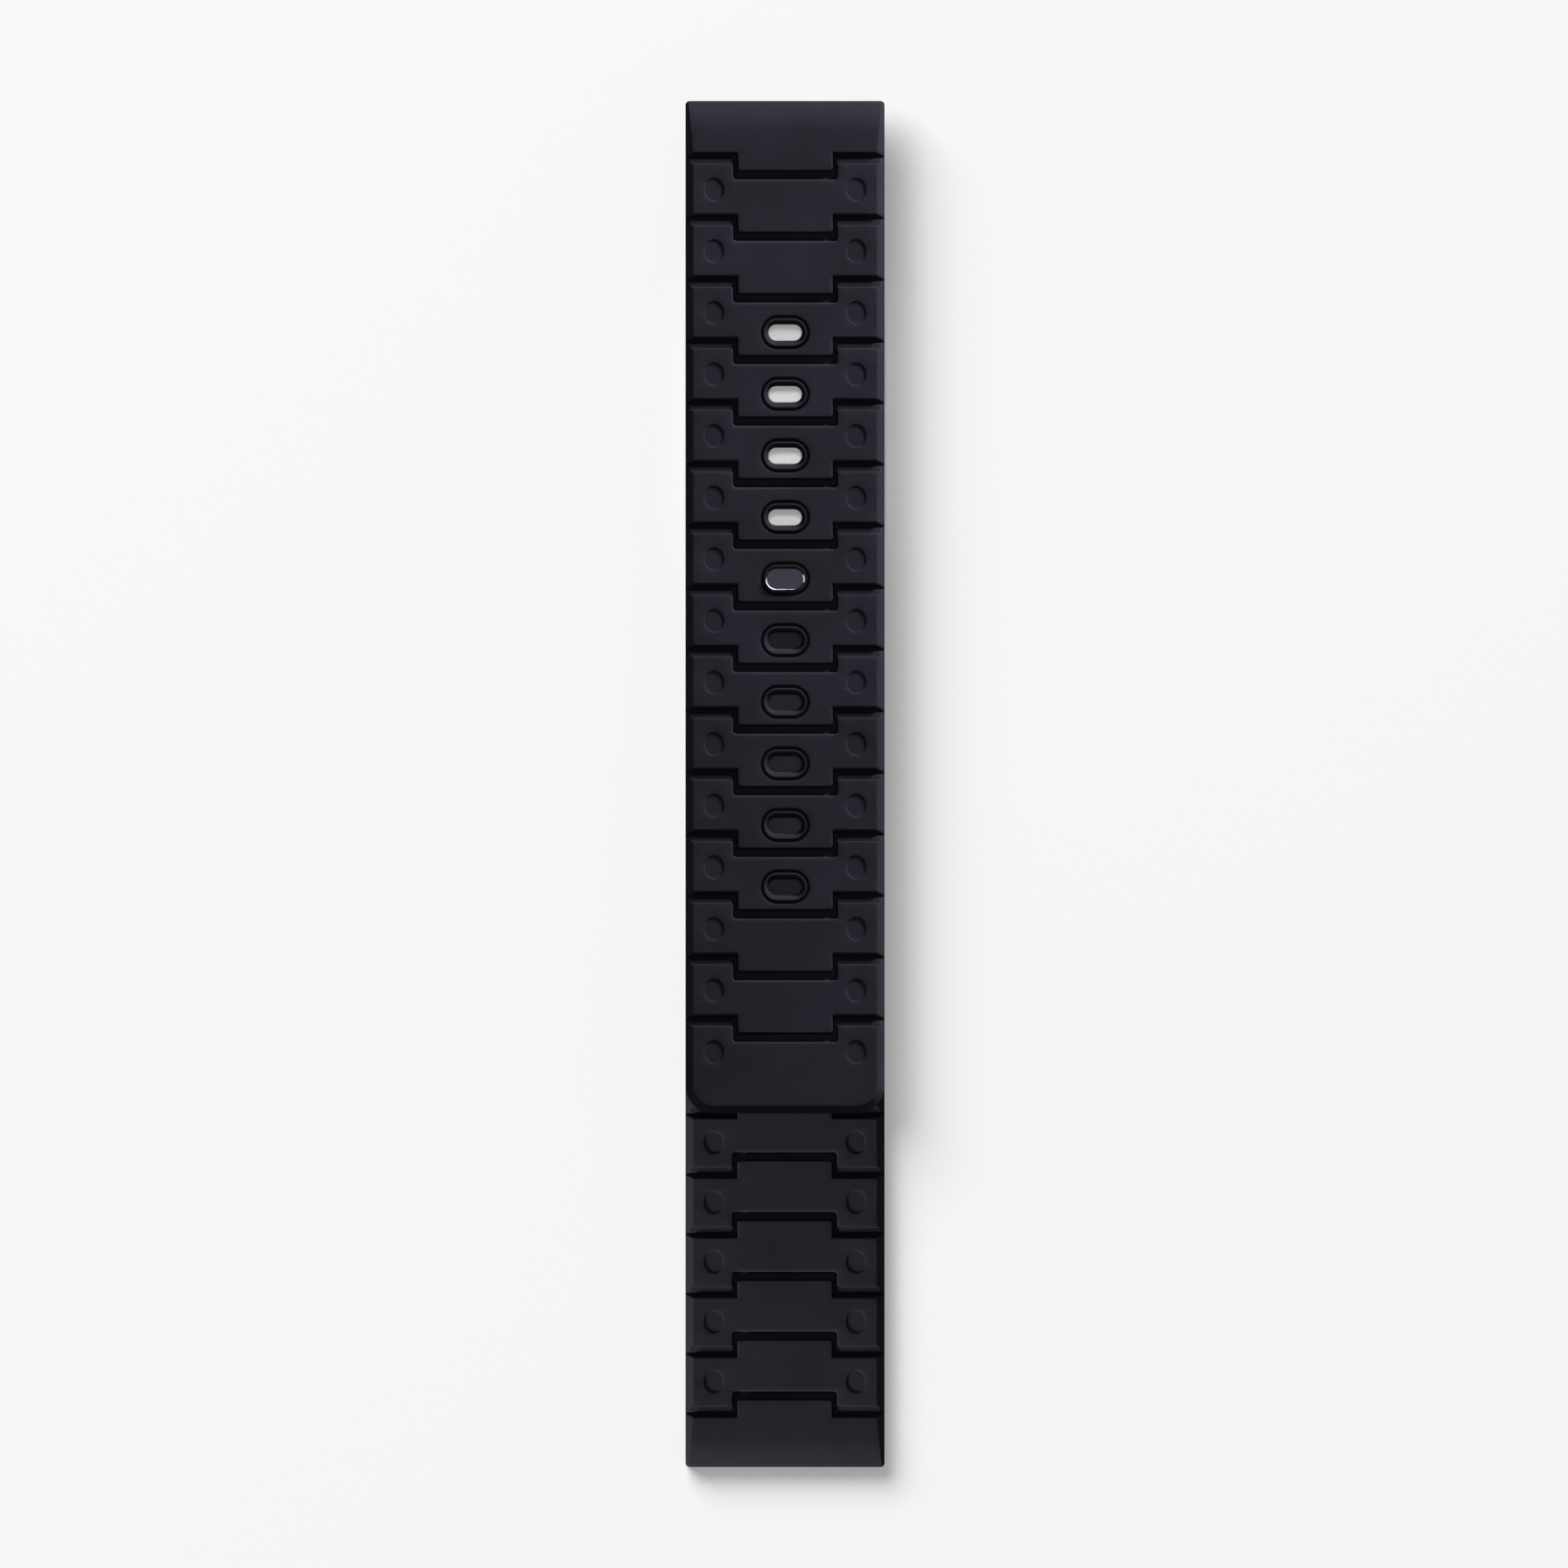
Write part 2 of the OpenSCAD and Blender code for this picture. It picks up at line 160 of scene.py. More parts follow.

# ---------------------------------------------------------------------------------------------------
# Tread: each half is one moulding, cut across by grooves that step round a tongue on every link. It is
# drawn as one piece for each groove, from the middle of one link to the middle of the next, so that the
# joins between pieces lie in the stiff part of a link.
HALF_W = 11.0
THICK = 3.8
WEB = 2.7                                     # height of a groove's floor, over the web that bends
BEVEL_W, BEVEL_D = 0.83, 1.05                 # bevel along the top edges
UNDER = 0.3                                   # bevel along the bottom edges
TONGUE, RECESS = 5.22, 5.79                   # half widths of a tongue and of the recess round it
PIVOT_V = 1.35                                # groove's near edge to its flexing axis
CUT_ARM, CUT_MID, CUT_X = 5.62, 4.15, 4.6     # where a piece ends, at the arms and at the middle
TIP_R = 3.05                                  # plan radius of the free end's corners
LUG_R = 0.45                                  # plan radius of the lug end's corners
LUG_RUN, LUG_DROP = 3.2, 1.0                  # the lug's top falls away towards its face
LUG_BEVEL, EDGE_R = 0.30, 0.22                # its side bevels' width at the face, and the face's edge
ARC_STEPS = 4                                 # in each rounded corner of a groove

# The groove's two walls, the near one from the top down and the far one from the floor up: how far each
# line reaches into the groove at the arms, legs and middle, and its height. The far arm has a low step.
NEAR_WALL = [(-0.12, -0.13, -0.10, THICK), (-0.04, -0.06, -0.03, 3.787), (0.02, -0.005, 0.01, 3.745),
             (0.06, 0.02, 0.03, 3.66), (0.40, 0.07, 0.08, 2.86), (0.46, 0.12, 0.15, 2.74),
             (0.54, 0.20, 0.30, WEB)]
FAR_WALL = [(0.74, 0.20, 0.36, WEB), (0.72, 0.12, 0.22, 2.74), (0.70, 0.08, 0.15, 2.86),
            (0.66, 0.055, 0.10, 3.25), (0.60, 0.05, 0.085, 3.35), (0.10, 0.048, 0.08, 3.39),
            (0.07, 0.04, 0.06, 3.53), (0.06, 0.02, 0.03, 3.67), (0.05, -0.01, -0.01, 3.745),
            (0.03, -0.07, -0.07, 3.785), (-0.02, -0.15, -0.15, THICK)]


def groove_lines(pitch):
    """The groove's cross lines as (arm w, leg x, middle w, corner radii, height), near to far."""
    arm_far, tongue_end, recess_end = 0.197 * pitch, 0.292 * pitch, 0.451 * pitch
    lines = []
    for arm, leg, mid, z in NEAR_WALL:
        lines.append((arm, TONGUE + leg, tongue_end + mid, max(0.16 - leg, 0.04), 0.30 + leg, z))
    for arm, leg, mid, z in FAR_WALL:
        lines.append((arm_far - arm, RECESS - leg, recess_end - mid, 0.22 + leg, max(0.40 - leg, 0.06), z))
    return lines


def line_points(arm, leg, mid, r_arm, r_mid, z, arm_end):
    """Points across the strap along one groove line, from the left edge to the right."""
    half = [(x, mid) for x in (0.0, 1.5, 3.0, 4.3)]
    for i in range(ARC_STEPS + 1):
        a = math.radians(90 - 90 * i / ARC_STEPS)
        half.append((leg - r_mid + r_mid * math.cos(a), mid - r_mid + r_mid * math.sin(a)))
    half.append((leg, (arm + mid) / 2))
    for i in range(ARC_STEPS + 1):
        a = math.radians(180 + 90 * i / ARC_STEPS)
        half.append((leg + r_arm + r_arm * math.cos(a), arm + r_arm + r_arm * math.sin(a)))
    half += [(x, arm) for x in (6.6, 7.85, 9.0)] + [(arm_end, arm)]
    return [(-x, w, z) for x, w in reversed(half[1:])] + [(x, w, z) for x, w in half]


def side_profile(z, bevel=None):
    """Points (inset from the side, height) down the strap's side from a top at height z. The bevel is as
    wide as that height leaves it, or as given."""
    edge = bevel or 0.05 + max(0.0, (z - THICK + BEVEL_D) / BEVEL_D * (BEVEL_W - 0.05))
    on_bevel = edge - 0.05 if edge > 0.2 else edge * 0.4
    shoulder = min(THICK - BEVEL_D, z - BEVEL_D / BEVEL_W * edge if bevel else z - 0.16) + 0.06
    return [(edge + 0.06, z), (edge + 0.01, z - 0.008), (on_bevel, z - 0.063),
            (0.05 if z > 2.95 or bevel else 0.01, shoulder), (0, shoulder - 0.10),
            (0, 0.40), (0.03, 0.29), (UNDER - 0.02, 0.02), (UNDER + 0.08, 0)]


def inside(x, w, loop):
    """True if the point lies in the closed loop of (x, w) points."""
    hit = False
    for (x0, w0), (x1, w1) in zip(loop, loop[1:] + loop[:1]):
        if (w0 > w) != (w1 > w) and x < x0 + (w - w0) / (w1 - w0) * (x1 - x0):
            hit = not hit
    return hit


class Shell:
    """A closed mesh under construction, whose points are (x, w, z) in a strap half's frame."""

    def __init__(self):
        self.bm = bmesh.new()

    def point(self, x, w, z):
        return self.bm.verts.new((x, w, z))

    def face(self, verts):
        """A face, unless it would be there twice."""
        if not self.bm.faces.get(verts):
            self.bm.faces.new(verts)

    def strip(self, a, b, closed=False):
        """Quads between two rows of points."""
        n = len(a)
        for i in range(n if closed else n - 1):
            j = (i + 1) % n
            self.face(list(dict.fromkeys((a[i], a[j], b[j], b[i]))))

    def fill(self, outline, holes=(), spacing=0.7, height=None, keep=0.28):
        """Triangles in a flat outline with holes, with a grid of points inside so that it can bend."""
        loops = [list(outline)] + [list(h) for h in holes]
        flat = [[(v.co.x, v.co.y) for v in loop] for loop in loops]
        verts = [v for loop in loops for v in loop]
        places = [p for loop in flat for p in loop]
        edges, first = [], 0
        for loop in loops:
            edges += [(first + i, first + (i + 1) % len(loop)) for i in range(len(loop))]
            first += len(loop)
        boundary = list(places)
        low_x, high_x = min(p[0] for p in flat[0]), max(p[0] for p in flat[0])
        low_w, high_w = min(p[1] for p in flat[0]), max(p[1] for p in flat[0])
        columns = max(2, round((high_x - low_x) / (spacing * 1.6)))
        rows = max(2, round((high_w - low_w) / spacing))
        for i in range(1, columns):
            for j in range(1, rows):
                x = low_x + (high_x - low_x) * i / columns
                w = low_w + (high_w - low_w) * j / rows
                if not inside(x, w, flat[0]) or any(inside(x, w, hole) for hole in flat[1:]):
                    continue
                if min((x - p[0]) ** 2 + (w - p[1]) ** 2 for p in boundary) < keep ** 2:
                    continue
                z = height(w) if height else verts[0].co.z
                verts.append(self.bm.verts.new((x, w, z)))
                places.append((x, w))
        out_verts, _, faces, came_from, *_ = delaunay_2d_cdt([Vector(p) for p in places], edges, [], 0, 1e-6)
        for corners in faces:
            x = sum(out_verts[c].x for c in corners) / len(corners)
            w = sum(out_verts[c].y for c in corners) / len(corners)
            if inside(x, w, flat[0]) and not any(inside(x, w, hole) for hole in flat[1:]):
                self.face([verts[came_from[c][0]] for c in corners])

    def mesh(self, name):
        """The finished mesh in metres, with its faces outwards."""
        bmesh.ops.remove_doubles(self.bm, verts=self.bm.verts, dist=1e-4)
        bmesh.ops.recalc_face_normals(self.bm, faces=self.bm.faces)
        if self.bm.calc_volume(signed=True) < 0:
            bmesh.ops.reverse_faces(self.bm, faces=self.bm.faces)
        bmesh.ops.scale(self.bm, vec=(MM, MM, MM), verts=self.bm.verts)
        data = bpy.data.meshes.new(name)
        self.bm.to_mesh(data)
        self.bm.free()
        return data


def oblong(length, width, steps=18):
    """Points round an oblong, length across the strap and width along it."""
    middle, r = (length - width) / 2, width / 2
    loop = []
    for side, start in ((1, -90), (-1, 90)):
        for i in range(steps + 1):
            a = math.radians(start + 180 * i / steps)
            loop.append((side * middle + r * math.cos(a), r * math.sin(a)))
    return loop


def oval(rx, rw, steps=36):
    """Points round an oval of these half widths across and along the strap."""
    turn = [2 * math.pi * i / steps for i in range(steps)]
    return [(rx * math.cos(a), rw * math.sin(a)) for a in turn]


SLOT_SHARE, DIMPLE_SHARE = 0.926, 0.603       # groove edge to slot and to dimples, in pitches
DIMPLE_X, DIMPLE_RX, DIMPLE_RW = 7.85, 1.12, 1.30

# A dimple's wall from the top down: how far outside its oval each ring lies, and its height
DIMPLE_WALL = [(0.05, 3.80), (0.02, 3.795), (0.0, 3.78), (-0.05, 3.675), (-0.08, 3.66), (-0.20, 3.658)]

# A slot's hole from the top down, with the moat round its lip: length, width and height of each step
SLOT_WALL = [(5.63, 3.98, 3.80), (5.49, 3.84, 3.788), (5.41, 3.76, 3.74), (5.38, 3.73, 3.00),
             (5.30, 3.65, 2.91), (4.98, 3.27, 2.90), (4.86, 3.15, 2.96), (4.82, 3.11, 3.64),
             (4.78, 3.07, 3.72), (4.70, 2.99, 3.765), (4.60, 2.87, 3.77), (4.48, 2.69, 3.76),
             (4.42, 2.59, 3.72), (4.39, 2.54, 3.58), (4.33, 2.48, 3.54), (4.11, 2.27, 3.52),
             (4.04, 2.19, 3.44), (3.74, 1.80, 3.10), (3.70, 1.76, 3.02), (3.70, 1.76, 0.14),
             (3.76, 1.82, 0.03), (3.90, 1.96, 0.0)]


def dimple(shell, x, w):
    """A round dimple pressed into the tread. Returns its outer edge."""
    loops = [[shell.point(x + px, w + pw, z) for px, pw in oval(DIMPLE_RX + out, DIMPLE_RW + out)]
             for out, z in DIMPLE_WALL]
    for a, b in zip(loops, loops[1:]):
        shell.strip(a, b, closed=True)
    shell.fill(loops[-1], keep=0.2)
    return loops[0]


def slot_hole(shell, w):
    """An adjustment slot, its lip and the moat round it. Returns its outline at the top and below."""
    loops = [[shell.point(px, w + pw, z) for px, pw in oblong(length, width)]
             for length, width, z in SLOT_WALL]
    for a, b in zip(loops, loops[1:]):
        shell.strip(a, b, closed=True)
    return loops[0], loops[-1]


def prism(outline, x_from, x_to):
    """A mesh of an outline of (w, z) points drawn across the strap."""
    shell = Shell()
    ends = [[shell.point(x, w, z) for w, z in outline] for x in (x_from, x_to)]
    shell.strip(*ends, closed=True)
    for end in ends:
        shell.face(end)
    return shell.mesh("prism")


def block(x_from, x_to, w_from, w_to, z_from, z_to):
    """A mesh of a rectangular block."""
    return prism([(w_from, z_from), (w_to, z_from), (w_to, z_to), (w_from, z_to)], x_from, x_to)


def carve(data, others, operation="DIFFERENCE"):
    """A mesh with others cut away from it, or joined to it."""
    body = bpy.data.objects.new("body", data)
    tools = [bpy.data.objects.new("tool", other) for other in others]
    for item in [body] + tools:
        scene.collection.objects.link(item)
    for tool in tools:
        modifier = body.modifiers.new("carve", "BOOLEAN")
        modifier.operation, modifier.object, modifier.solver = operation, tool, "EXACT"
    ready = body.evaluated_get(bpy.context.evaluated_depsgraph_get())
    made = bpy.data.meshes.new_from_object(ready)
    for item in [body] + tools:
        bpy.data.objects.remove(item)
    return made


BAR_V, BAR_Z, SEAT_R = 1.9, 1.25, 0.8         # the watch's bar and the seat round it
CLIP_X, CLIP_FROM, CLIP_TO, CLIP_TOP = 7.6, 0.5, 5.3, 2.35        # the lug's pocket for the clip


def bar_channel(shift, reach, flare):
    """Cutter for the bar's seat, open downwards with a flared mouth."""
    over = [(BAR_V + SEAT_R * math.cos(math.radians(a)), BAR_Z + SEAT_R * math.sin(math.radians(a)))
            for a in range(0, 181, 9)]
    mouth = [(BAR_V - SEAT_R, flare), (BAR_V - SEAT_R - flare - 0.1, -0.1),
             (BAR_V + SEAT_R + flare + 0.1, -0.1), (BAR_V + SEAT_R, flare)]
    return prism([(v - shift, z) for v, z in over + mouth], -reach, reach)


def lug_top(v):
    """Height of the lug's top at a distance v from its face, with the face's edge rounded over."""
    fall = LUG_DROP * ((LUG_RUN - v) / LUG_RUN) ** 2 if v < LUG_RUN else 0.0
    over = EDGE_R * (1 - math.sqrt(max(0.0, 1 - (1 - v / EDGE_R) ** 2))) if v < EDGE_R else 0.0
    return THICK - fall - over


LUG_FACE_ROWS = (0, 0.03, 0.08, 0.14, 0.22, 0.34, 0.46)                       # rows of points along v
LUG_ROWS = (0.8, 1.2, 1.6, 2.0, 2.4, 2.8, 3.2, 3.8, 4.4, 5.0, 5.35)
NEAR_SHARES = (1, 0.72, 0.45, 0.22)           # rows before a groove, as shares of the way from the cut
STRETCH_SHARES, STRETCH_TO = (0.25, 0.5, 0.75, 1), 3.1                        # rows past it, which bend


def strap_piece(h, k, kind, stud_w):
    """The rubber round groove k of a half: from the middle of link k - 1, or the lug face, to the middle
    of link k, or the free end. Lengths along it are w, from the groove's near edge. The stud's place is
    stud_w, where the piece holds it."""
    pitch, edge, lug_length = h["pitch"], h["edges"][k - 1], h["edges"][0]
    is_lug, is_tip = kind == "lug", kind == "tip"
    shell = Shell()

    def row(w, z, line=None, columns=1):
        """One row of points: across the top, and down each side from the top's end."""
        v = w + edge
        narrow = LUG_R - math.sqrt(LUG_R ** 2 - (LUG_R - v) ** 2) if is_lug and v < LUG_R else 0.0
        bevel = LUG_BEVEL + (BEVEL_W - LUG_BEVEL) * v / lug_length if is_lug and v < lug_length else None
        profile = side_profile(z, bevel)
        top_x = HALF_W - narrow - profile[0][0]
        if line:
            across = line_points(*line, z, top_x)
        else:
            across = [(-top_x + 2 * top_x * i / columns, w, z) for i in range(columns + 1)]
        top = [shell.point(*p) for p in across]
        left, right = [[end] + [shell.point(sign * (HALF_W - narrow - inset), w, height)
                                for inset, height in profile[1:]]
                       for sign, end in ((-1, top[0]), (1, top[-1]))]
        return {"w": w, "top": top, "left": left, "right": right}

    def plain(w, columns=1):
        """A straight row at the height of the top there."""
        return row(w, lug_top(w + edge) if is_lug else THICK, columns=columns)

    # rows before the groove, in the groove and past it
    if is_lug:
        face_rows = [plain(v - edge, columns=12) for v in LUG_FACE_ROWS]
        near = face_rows + [plain(v - edge) for v in LUG_ROWS]
    else:
        near = [plain((CUT_ARM - pitch) * share) for share in NEAR_SHARES]
    grooves = []
    for *line, z in groove_lines(pitch):
        grooves.append(row(line[0], min(z, lug_top(edge + line[0])) if is_lug else z, line))
    for a, b in zip(grooves, grooves[1:]):
        shell.strip(a["top"], b["top"])
    far_start, far_end = grooves[-1]["w"], h["length"] - edge - TIP_R if is_tip else CUT_ARM
    stretch_to = min(far_end, STRETCH_TO)
    far = [plain(far_start + (stretch_to - far_start) * share) for share in STRETCH_SHARES]
    far += [plain((stretch_to + far_end) / 2), plain(far_end)]
    rows = near + grooves + far

    # holes through it and into the top
    slot_top, under_holes = [], []
    if kind == "slotted":
        top_loop, under_loop = slot_hole(shell, (SLOT_SHARE - 1) * pitch)
        slot_top.append(top_loop)
        under_holes.append(under_loop)
    top_holes = [dimple(shell, side * DIMPLE_X, DIMPLE_SHARE * pitch) for side in (-1, 1)]
    if stud_w is not None:
        top_loop, under_loop = stud_pockets(shell, stud_w)
        top_holes.append(top_loop)
        under_holes.append(under_loop)

    def ends(part, side, place):
        """The points at one place down a side, on each row of a part."""
        return [r[side][place] for r in part]

    def step(arm_w, mid_w, end_row):
        """A stepped cut through a link, as lines of points at the top and at the underside."""
        corners = ((-CUT_X, arm_w), (-CUT_X, mid_w), (0, mid_w), (CUT_X, mid_w), (CUT_X, arm_w))
        top, under = [[end_row["left"][place]] + [shell.point(x, w, z) for x, w in corners]
                      + [end_row["right"][place]] for place, z in ((0, THICK), (-1, 0))]
        shell.face(top[0:2] + [under[1]] + end_row["left"][:0:-1])
        for i in range(1, 5):
            shell.face([top[i], top[i + 1], under[i + 1], under[i]])
        shell.face([top[5], top[6]] + end_row["right"][1:] + [under[5]])
        return top, under

    # the near end
    if is_lug:
        for a, b in zip(face_rows, face_rows[1:]):
            shell.strip(a["top"], b["top"])
        shell.face(near[0]["top"] + near[0]["right"][1:] + near[0]["left"][:0:-1])
        start_line, near_sides = face_rows[-1]["top"], near[len(face_rows):]
        under_start = [near[0]["left"][-1], near[0]["right"][-1]]
    else:
        start_line, under_start = step(CUT_ARM - pitch, CUT_MID - pitch, near[0])
        near_sides = near[1:]
    outline = start_line + ends(near_sides, "right", 0) + grooves[0]["top"][::-1]
    outline += ends(near_sides, "left", 0)[::-1]
    shell.fill(outline, slot_top, height=(lambda w: lug_top(w + edge)) if is_lug else None)

    # the far end
    if is_tip:
        columns = tip_columns(shell, h["length"] - edge)
        sides = [rows[-1]["right"]] + columns + [rows[-1]["left"]]
        for a, b in zip(sides, sides[1:]):
            shell.strip(a, b)
        far_sides, under_sides = far, rows[1:]
        end_line, under_end = [c[0] for c in columns], [c[-1] for c in columns]
    else:
        end_line, under_end = [line[::-1] for line in step(CUT_ARM, CUT_MID, rows[-1])]
        far_sides, under_sides = far[:-1], rows[1:-1]
    outline = grooves[-1]["top"] + ends(far_sides, "right", 0) + end_line
    shell.fill(outline + ends(far_sides, "left", 0)[::-1], top_holes)

    for a, b in zip(rows, rows[1:]):
        shell.strip(a["left"], b["left"])
        shell.strip(a["right"], b["right"])
    underside = under_start + ends(under_sides, "right", -1) + under_end
    shell.fill(underside + ends(under_sides, "left", -1)[::-1], under_holes, spacing=0.8)
    return shell.mesh(kind)


FLANGE_L, FLANGE_W, FLANGE_Z = 6.0, 4.0, 3.2                      # the stud's flange and its underside
PLATE_L, PLATE_W, PLATE_TOP, PLATE_LOW = 8.0, 6.0, 0.75, 0.25     # its backing plate
TAIL_R, TAIL_X = 0.6, 1.05                                        # its two rivet tails


def stud_pockets(shell, w):
    """Pockets for the stud's flange above and its backing plate below, joined by two rivet holes.
    Returns their outlines at the top and at the underside."""
    def ring(length, width, z, x=0):
        return [shell.point(x + px, w + pw, z) for px, pw in oblong(length, width)]

    above = [ring(FLANGE_L + more, FLANGE_W + more, z)
             for more, z in ((0.24, THICK), (0.06, THICK - 0.08), (0.04, FLANGE_Z))]
    below = [ring(PLATE_L + more, PLATE_W + more, z)
             for more, z in ((0.24, 0), (0.06, 0.09), (0.04, PLATE_TOP))]
    across = 2 * TAIL_R + 0.02
    holes = [[ring(across, across, z, side * TAIL_X) for side in (-1, 1)] for z in (FLANGE_Z, PLATE_TOP)]
    for rings in (above, below):
        for a, b in zip(rings, rings[1:]):
            shell.strip(a, b, closed=True)
    for a, b in zip(*holes):
        shell.strip(a, b, closed=True)
    shell.fill(above[-1], holes[0])
    shell.fill(below[-1], holes[1])
    return above[0], below[0]


def tip_columns(shell, end):
    """Columns of points down the side, round the free end from the right side to the left."""
    middle = HALF_W - TIP_R
    stops = [(1, a) for a in range(10, 91, 10)] + [(0, x) for x in (5.0, 2.5, 0.0, -2.5, -5.0)]
    stops += [(-1, a) for a in range(90, 9, -10)]
    columns = []
    for side, value in stops:
        column = []
        for inset, z in side_profile(THICK):
            if side:
                a, r = math.radians(value), TIP_R - inset
                w = end - TIP_R + r * math.sin(a)
                column.append(shell.point(side * (middle + r * math.cos(a)), w, z))
            else:
                column.append(shell.point(value, end - inset, z))
        columns.append(column)
    return columns


def new_tree(name, sockets):
    """An empty geometry tree with named inputs and one geometry output, and its input node."""
    tree = bpy.data.node_groups.new(name, "GeometryNodeTree")
    for socket, kind in sockets:
        tree.interface.new_socket(socket, in_out="INPUT", socket_type="NodeSocket" + kind)
    tree.interface.new_socket("Geometry", in_out="OUTPUT", socket_type="NodeSocketGeometry")
    return tree, add(tree, "NodeGroupInput")


def end_tree(tree, given, last, output="Geometry"):
    """Ends a tree: instances made real, the piece's material, and the output."""
    real = add(tree, "GeometryNodeRealizeInstances", [("Geometry", last, output)])
    finish = add(tree, "GeometryNodeSetMaterial", [("Geometry", real, 0), ("Material", given, "Material")])
    add(tree, "NodeGroupOutput", [("Geometry", finish, 0)])
    return tree


def evaluate(name, tree, **values):
    """The plain mesh that a tree makes from these input values."""
    host = bpy.data.objects.new(name, bpy.data.meshes.new(name))
    scene.collection.objects.link(host)
    modifier = host.modifiers.new("tree", "NODES")
    modifier.node_group = tree
    for socket in tree.interface.items_tree:
        if socket.in_out == "INPUT":
            modifier[socket.identifier] = values[socket.name.replace(" ", "_")]
    ready = host.evaluated_get(bpy.context.evaluated_depsgraph_get())
    data = bpy.data.meshes.new_from_object(ready)
    data.name = name
    bpy.data.objects.remove(host)
    return data


def tread_tree():
    """Lays a tread piece at one groove of a half: the pattern stepped along at the pitch, then turned
    to lie where that half lies."""
    tree, given = new_tree("tread_step", [
        ("Piece", "Object"), ("First groove", "Float"), ("Pitch", "Float"), ("Steps", "Int"),
        ("Face", "Vector"), ("Turn", "Float"), ("Material", "Material")])
    v = add(tree, "ShaderNodeMath", [(0, given, "Steps"), (1, given, "Pitch"), (2, given, "First groove")],
            operation="MULTIPLY_ADD")
    place = add(tree, "ShaderNodeCombineXYZ", [("Y", v, 0)])
    point = add(tree, "GeometryNodePoints", [("Position", place, 0)], Count=1)
    piece = add(tree, "GeometryNodeObjectInfo", [("Object", given, "Piece")], As_Instance=True)
    laid = add(tree, "GeometryNodeInstanceOnPoints", [("Points", point, 0), ("Instance", piece, "Geometry")])
    turn = add(tree, "ShaderNodeCombineXYZ", [("Z", given, "Turn")])
    moved = add(tree, "GeometryNodeTransform",
                [("Geometry", laid, 0), ("Translation", given, "Face"), ("Rotation", turn, 0)])
    return end_tree(tree, given, moved)


def dress(name, data, sharp=50):
    """An object of a mesh, smooth but for edges sharper than an angle, its flat faces shaded flat."""
    data.polygons.foreach_set("use_smooth", [True] * len(data.polygons))
    data.set_sharp_from_angle(angle=math.radians(sharp))
    piece = bpy.data.objects.new(name, data)
    scene.collection.objects.link(piece)
    weighted = piece.modifiers.new("weighted", "WEIGHTED_NORMAL")
    weighted.keep_sharp = True
    weighted.weight = 100
    return piece


# Where each half lies, from the frame: its lug face, its underside and the flexing axis of each groove
lowest, highest = cad_box
HALVES = {}
for half, sign in (("long", -1), ("short", 1)):
    face = (highest if half == "long" else lowest).y / MM
    joints = [j for j in frame["joints"] if j["type"] == "hinge" and j["child"].startswith(half)]
    joints.sort(key=lambda j: sign * (j["pos_m"][1] / MM - face))
    edges = [sign * (j["pos_m"][1] / MM - face) - PIVOT_V for j in joints]
    links = [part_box(n) for n in frame["nodes"] if n.startswith(f"{half}_link")]
    ends = [(low if half == "long" else high).y / MM for low, high in links]
    HALVES[half] = {
        "face": face, "sign": sign, "base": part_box(f"{half}_lug")[0].z / MM, "joints": joints,
        "edges": edges, "pitch": (edges[-1] - edges[0]) / (len(edges) - 1),
        "length": max(abs(end - face) for end in ends), "turn": math.pi if sign < 0 else 0.0,
        "rubber": rubber_long_painted_lighter if half == "long" else rubber_short_painted_darker}


stud_low, stud_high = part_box("closure_stud")
STUD_V = (stud_low.y + stud_high.y) / 2 / MM - HALVES["short"]["face"]
STUD_TOP = stud_high.z / MM
FIRST_SLOT, BUTTONED, LAST_SLOT = 3, 7, 12    # links with slots, and the one that holds the stud


def lay(half, x, v, z):
    """A point of a half's own frame, in the row frame in metres."""
    h = HALVES[half]
    return Vector((h["sign"] * x, h["face"] + h["sign"] * v, h["base"] + z)) * MM


tread_step = tread_tree()
strap_pieces = {"long": [], "short": []}
for half, h in HALVES.items():
    first, pitch, count, patterns = h["edges"][0], h["pitch"], len(h["edges"]), {}
    for k in range(1, count + 1):
        slotted = half == "long" and FIRST_SLOT <= k - 1 <= LAST_SLOT
        kind = "lug" if k == 1 else "tip" if k == count else "slotted" if slotted else "plain"
        if kind not in patterns:
            stud_w = STUD_V - h["edges"][-1] if kind == "tip" and half == "short" else None
            data = strap_piece(h, k, kind, stud_w)
            if kind == "lug":
                pocket = block(-CLIP_X, CLIP_X, CLIP_FROM - first, CLIP_TO - first, -1, CLIP_TOP)
                data = carve(data, [bar_channel(first, HALF_W + 1, 0.15), pocket])
            patterns[kind] = bpy.data.objects.new(f"{half}_{kind}", data)
            scene.collection.objects.link(patterns[kind])
        data = evaluate(f"{half}_tread_{k:02d}", tread_step, Piece=patterns[kind], First_groove=first * MM,
                        Pitch=pitch * MM, Steps=k - 1, Face=lay(half, 0, 0, 0), Turn=h["turn"],
                        Material=h["rubber"])
        piece = dress(data.name, data)
        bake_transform(piece)
        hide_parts(f"{half}_link_{k:02d}")
        if k == 1:
            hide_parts(f"{half}_lug")
        if half == "long" and k == BUTTONED + 1:
            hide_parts("buttonhole_lip")
        strap_pieces[half].append(piece)
    for pattern in patterns.values():
        bpy.data.objects.remove(pattern)

# ---------------------------------------------------------------------------------------------------
# Clip frames: a small steel block in each lug end, injection-moulded from metal powder and brushed. It
# has the seat for the watch's bar and a bay for the latch, and is glued into the rubber's pocket.


